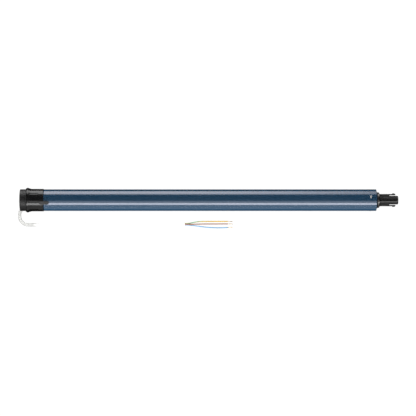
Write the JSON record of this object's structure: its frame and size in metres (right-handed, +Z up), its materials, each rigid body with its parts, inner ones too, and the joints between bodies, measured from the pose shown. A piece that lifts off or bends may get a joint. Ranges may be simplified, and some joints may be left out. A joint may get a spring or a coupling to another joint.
{
  "type": "tubular roller blind motor",
  "caption": "Tubular motor for a roller blind: round head with mains cable, free crown ring with driver tab, painted tube and a keyed drive shaft with snap latches.",
  "frame": {"origin": "centre of the head's flat end face, on the motor's axis", "axes": "+X along the motor from the head to the drive shaft, +Z up as the motor lies on a table, with the cable on the -Y side"},
  "size_m": [0.6202, 0.0663, 0.0405],
  "materials": {
    "black_gloss": "satin gloss, moulded",
    "blue_paint": "smooth gloss paint",
    "bright_steel": "bright",
    "tool_steel": "ground",
    "core_steel": "laminated",
    "white_sheath": "smooth",
    "brown_wire": "smooth",
    "blue_wire": "smooth",
    "green_yellow_wire": "smooth, green stripe",
    "dark_plastic": "moulded",
    "red_plastic": "moulded",
    "pale_plastic": "moulded",
    "green_board": "lacquered board",
    "green_plastic": "moulded",
    "copper": "enamelled",
    "lead_sleeve": "smooth",
    "yellow_coil": "taped",
    "relay_plastic": "moulded",
    "can": "drawn",
    "zinc": "die cast",
    "bronze": "sintered",
    "sintered": "sintered",
    "friction": "friction lining"
  },
  "bodies": {
    "base": {"head_cap": "black_gloss", "gearbox_cover": "black_gloss", "motor_tube": "blue_paint", "tube_screws": "bright_steel", "output_bush": "bright_steel", "head_screws": "bright_steel", "brake_spring": "tool_steel", "stator_core": "core_steel", "cable": "white_sheath", "wire_brown": "brown_wire", "wire_blue": "blue_wire", "wire_green_yellow": "green_yellow_wire", "head_body": "dark_plastic", "board_carrier": "dark_plastic", "capacitor_clips": "dark_plastic", "cable_clamp": "pale_plastic", "motor_connector": "pale_plastic", "thermal_cutout": "pale_plastic", "sensor_board": "green_board", "control_board": "green_board", "radio_module": "green_board", "terminal_block": "green_plastic", "stator_windings": "copper", "brake_coil": "copper", "supply_leads": "lead_sleeve", "motor_leads": "lead_sleeve", "power_module": "yellow_coil", "relays": "relay_plastic", "run_capacitor": "can", "rear_bell": "zinc", "front_bell": "zinc", "brake_housing": "zinc", "gear_housing": "zinc", "rotor_bushes": "bronze"},
    "rotor": {"rotor_shaft": "tool_steel", "rotor_core": "core_steel", "rotor_cage": "can", "brake_disc": "friction", "motor_pinion": "tool_steel"},
    "crown": {"crown_ring": "black_gloss"},
    "encoder": {"encoder_pinion": "pale_plastic", "encoder_magnet": "core_steel"},
    "stage_1": {"carrier_1": "tool_steel"},
    "stage_2": {"carrier_2": "tool_steel"},
    "output": {"output_carrier": "tool_steel", "drive_shaft": "black_gloss", "drive_screw": "bright_steel"},
    "armature": {"brake_armature": "core_steel"},
    "button": {"set_button": "red_plastic"},
    "latch_a": {"latch_arm_a": "black_gloss"},
    "latch_b": {"latch_arm_b": "black_gloss"},
    "planet_1a": {"planet_1a": "sintered"},
    "planet_1b": {"planet_1b": "sintered"},
    "planet_1c": {"planet_1c": "sintered"},
    "planet_2a": {"planet_2a": "sintered"},
    "planet_2b": {"planet_2b": "sintered"},
    "planet_2c": {"planet_2c": "sintered"},
    "planet_3a": {"planet_3a": "sintered"},
    "planet_3b": {"planet_3b": "sintered"},
    "planet_3c": {"planet_3c": "sintered"}
  },
  "joints": [
    {"name": "rotor_spin", "type": "hinge", "parent": "base", "child": "rotor", "pos_m": [0.36, 0, 0], "axis": [1, 0, 0], "continuous": true},
    {"name": "crown_spin", "type": "hinge", "parent": "base", "child": "crown", "pos_m": [0.02, 0, 0], "axis": [1, 0, 0], "continuous": true},
    {"name": "encoder_spin", "type": "hinge", "parent": "base", "child": "encoder", "pos_m": [0.0287, 0, 0.0105], "axis": [1, 0, 0], "continuous": true},
    {"name": "stage_1_spin", "type": "hinge", "parent": "base", "child": "stage_1", "pos_m": [0.5027, 0, 0], "axis": [1, 0, 0], "continuous": true},
    {"name": "planet_1a_spin", "type": "hinge", "parent": "stage_1", "child": "planet_1a", "pos_m": [0.5027, 0.00878, 0], "axis": [1, 0, 0], "continuous": true},
    {"name": "planet_1b_spin", "type": "hinge", "parent": "stage_1", "child": "planet_1b", "pos_m": [0.5027, -0.00439, 0.0076], "axis": [1, 0, 0], "continuous": true},
    {"name": "planet_1c_spin", "type": "hinge", "parent": "stage_1", "child": "planet_1c", "pos_m": [0.5027, -0.00439, -0.0076], "axis": [1, 0, 0], "continuous": true},
    {"name": "stage_2_spin", "type": "hinge", "parent": "base", "child": "stage_2", "pos_m": [0.5206, 0, 0], "axis": [1, 0, 0], "continuous": true},
    {"name": "planet_2a_spin", "type": "hinge", "parent": "stage_2", "child": "planet_2a", "pos_m": [0.5206, 0.00878, 0], "axis": [1, 0, 0], "continuous": true},
    {"name": "planet_2b_spin", "type": "hinge", "parent": "stage_2", "child": "planet_2b", "pos_m": [0.5206, -0.00439, 0.0076], "axis": [1, 0, 0], "continuous": true},
    {"name": "planet_2c_spin", "type": "hinge", "parent": "stage_2", "child": "planet_2c", "pos_m": [0.5206, -0.00439, -0.0076], "axis": [1, 0, 0], "continuous": true},
    {"name": "output_spin", "type": "hinge", "parent": "base", "child": "output", "pos_m": [0.5435, 0, 0], "axis": [1, 0, 0], "continuous": true},
    {"name": "planet_3a_spin", "type": "hinge", "parent": "output", "child": "planet_3a", "pos_m": [0.5435, 0.00878, 0], "axis": [1, 0, 0], "continuous": true},
    {"name": "planet_3b_spin", "type": "hinge", "parent": "output", "child": "planet_3b", "pos_m": [0.5435, -0.00439, 0.0076], "axis": [1, 0, 0], "continuous": true},
    {"name": "planet_3c_spin", "type": "hinge", "parent": "output", "child": "planet_3c", "pos_m": [0.5435, -0.00439, -0.0076], "axis": [1, 0, 0], "continuous": true},
    {"name": "brake_release", "type": "slide", "parent": "base", "child": "armature", "axis": [-1, 0, 0], "range_m": [0, 0.0005], "stiffness_N_per_m": 3000, "springref_m": -0.003, "deforming": ["brake_spring"]},
    {"name": "button_press", "type": "slide", "parent": "base", "child": "button", "axis": [1, 0, 0], "range_m": [0, 0.0008], "stiffness_N_per_m": 1500, "springref_m": -0.0003},
    {"name": "latch_a_bend", "type": "hinge", "parent": "output", "child": "latch_a", "pos_m": [0.6006, 0.0089, 0], "axis": [0, 0, -1], "range_deg": [0, 4], "stiffness_Nm_per_rad": 0.1},
    {"name": "latch_b_bend", "type": "hinge", "parent": "output", "child": "latch_b", "pos_m": [0.6006, -0.0089, 0], "axis": [0, 0, 1], "range_deg": [0, 4], "stiffness_Nm_per_rad": 0.1}
  ],
  "couplings": [
    {"joint": "encoder_spin", "follows": "crown_spin", "ratio": 3.5},
    {"joint": "stage_1_spin", "follows": "rotor_spin", "ratio": 0.22222},
    {"joint": "planet_1a_spin", "follows": "rotor_spin", "ratio": -0.62222},
    {"joint": "planet_1b_spin", "follows": "rotor_spin", "ratio": -0.62222},
    {"joint": "planet_1c_spin", "follows": "rotor_spin", "ratio": -0.62222},
    {"joint": "stage_2_spin", "follows": "rotor_spin", "ratio": 0.049383},
    {"joint": "planet_2a_spin", "follows": "rotor_spin", "ratio": -0.13827},
    {"joint": "planet_2b_spin", "follows": "rotor_spin", "ratio": -0.13827},
    {"joint": "planet_2c_spin", "follows": "rotor_spin", "ratio": -0.13827},
    {"joint": "output_spin", "follows": "rotor_spin", "ratio": 0.010974},
    {"joint": "planet_3a_spin", "follows": "rotor_spin", "ratio": -0.030727},
    {"joint": "planet_3b_spin", "follows": "rotor_spin", "ratio": -0.030727},
    {"joint": "planet_3c_spin", "follows": "rotor_spin", "ratio": -0.030727}
  ]
}
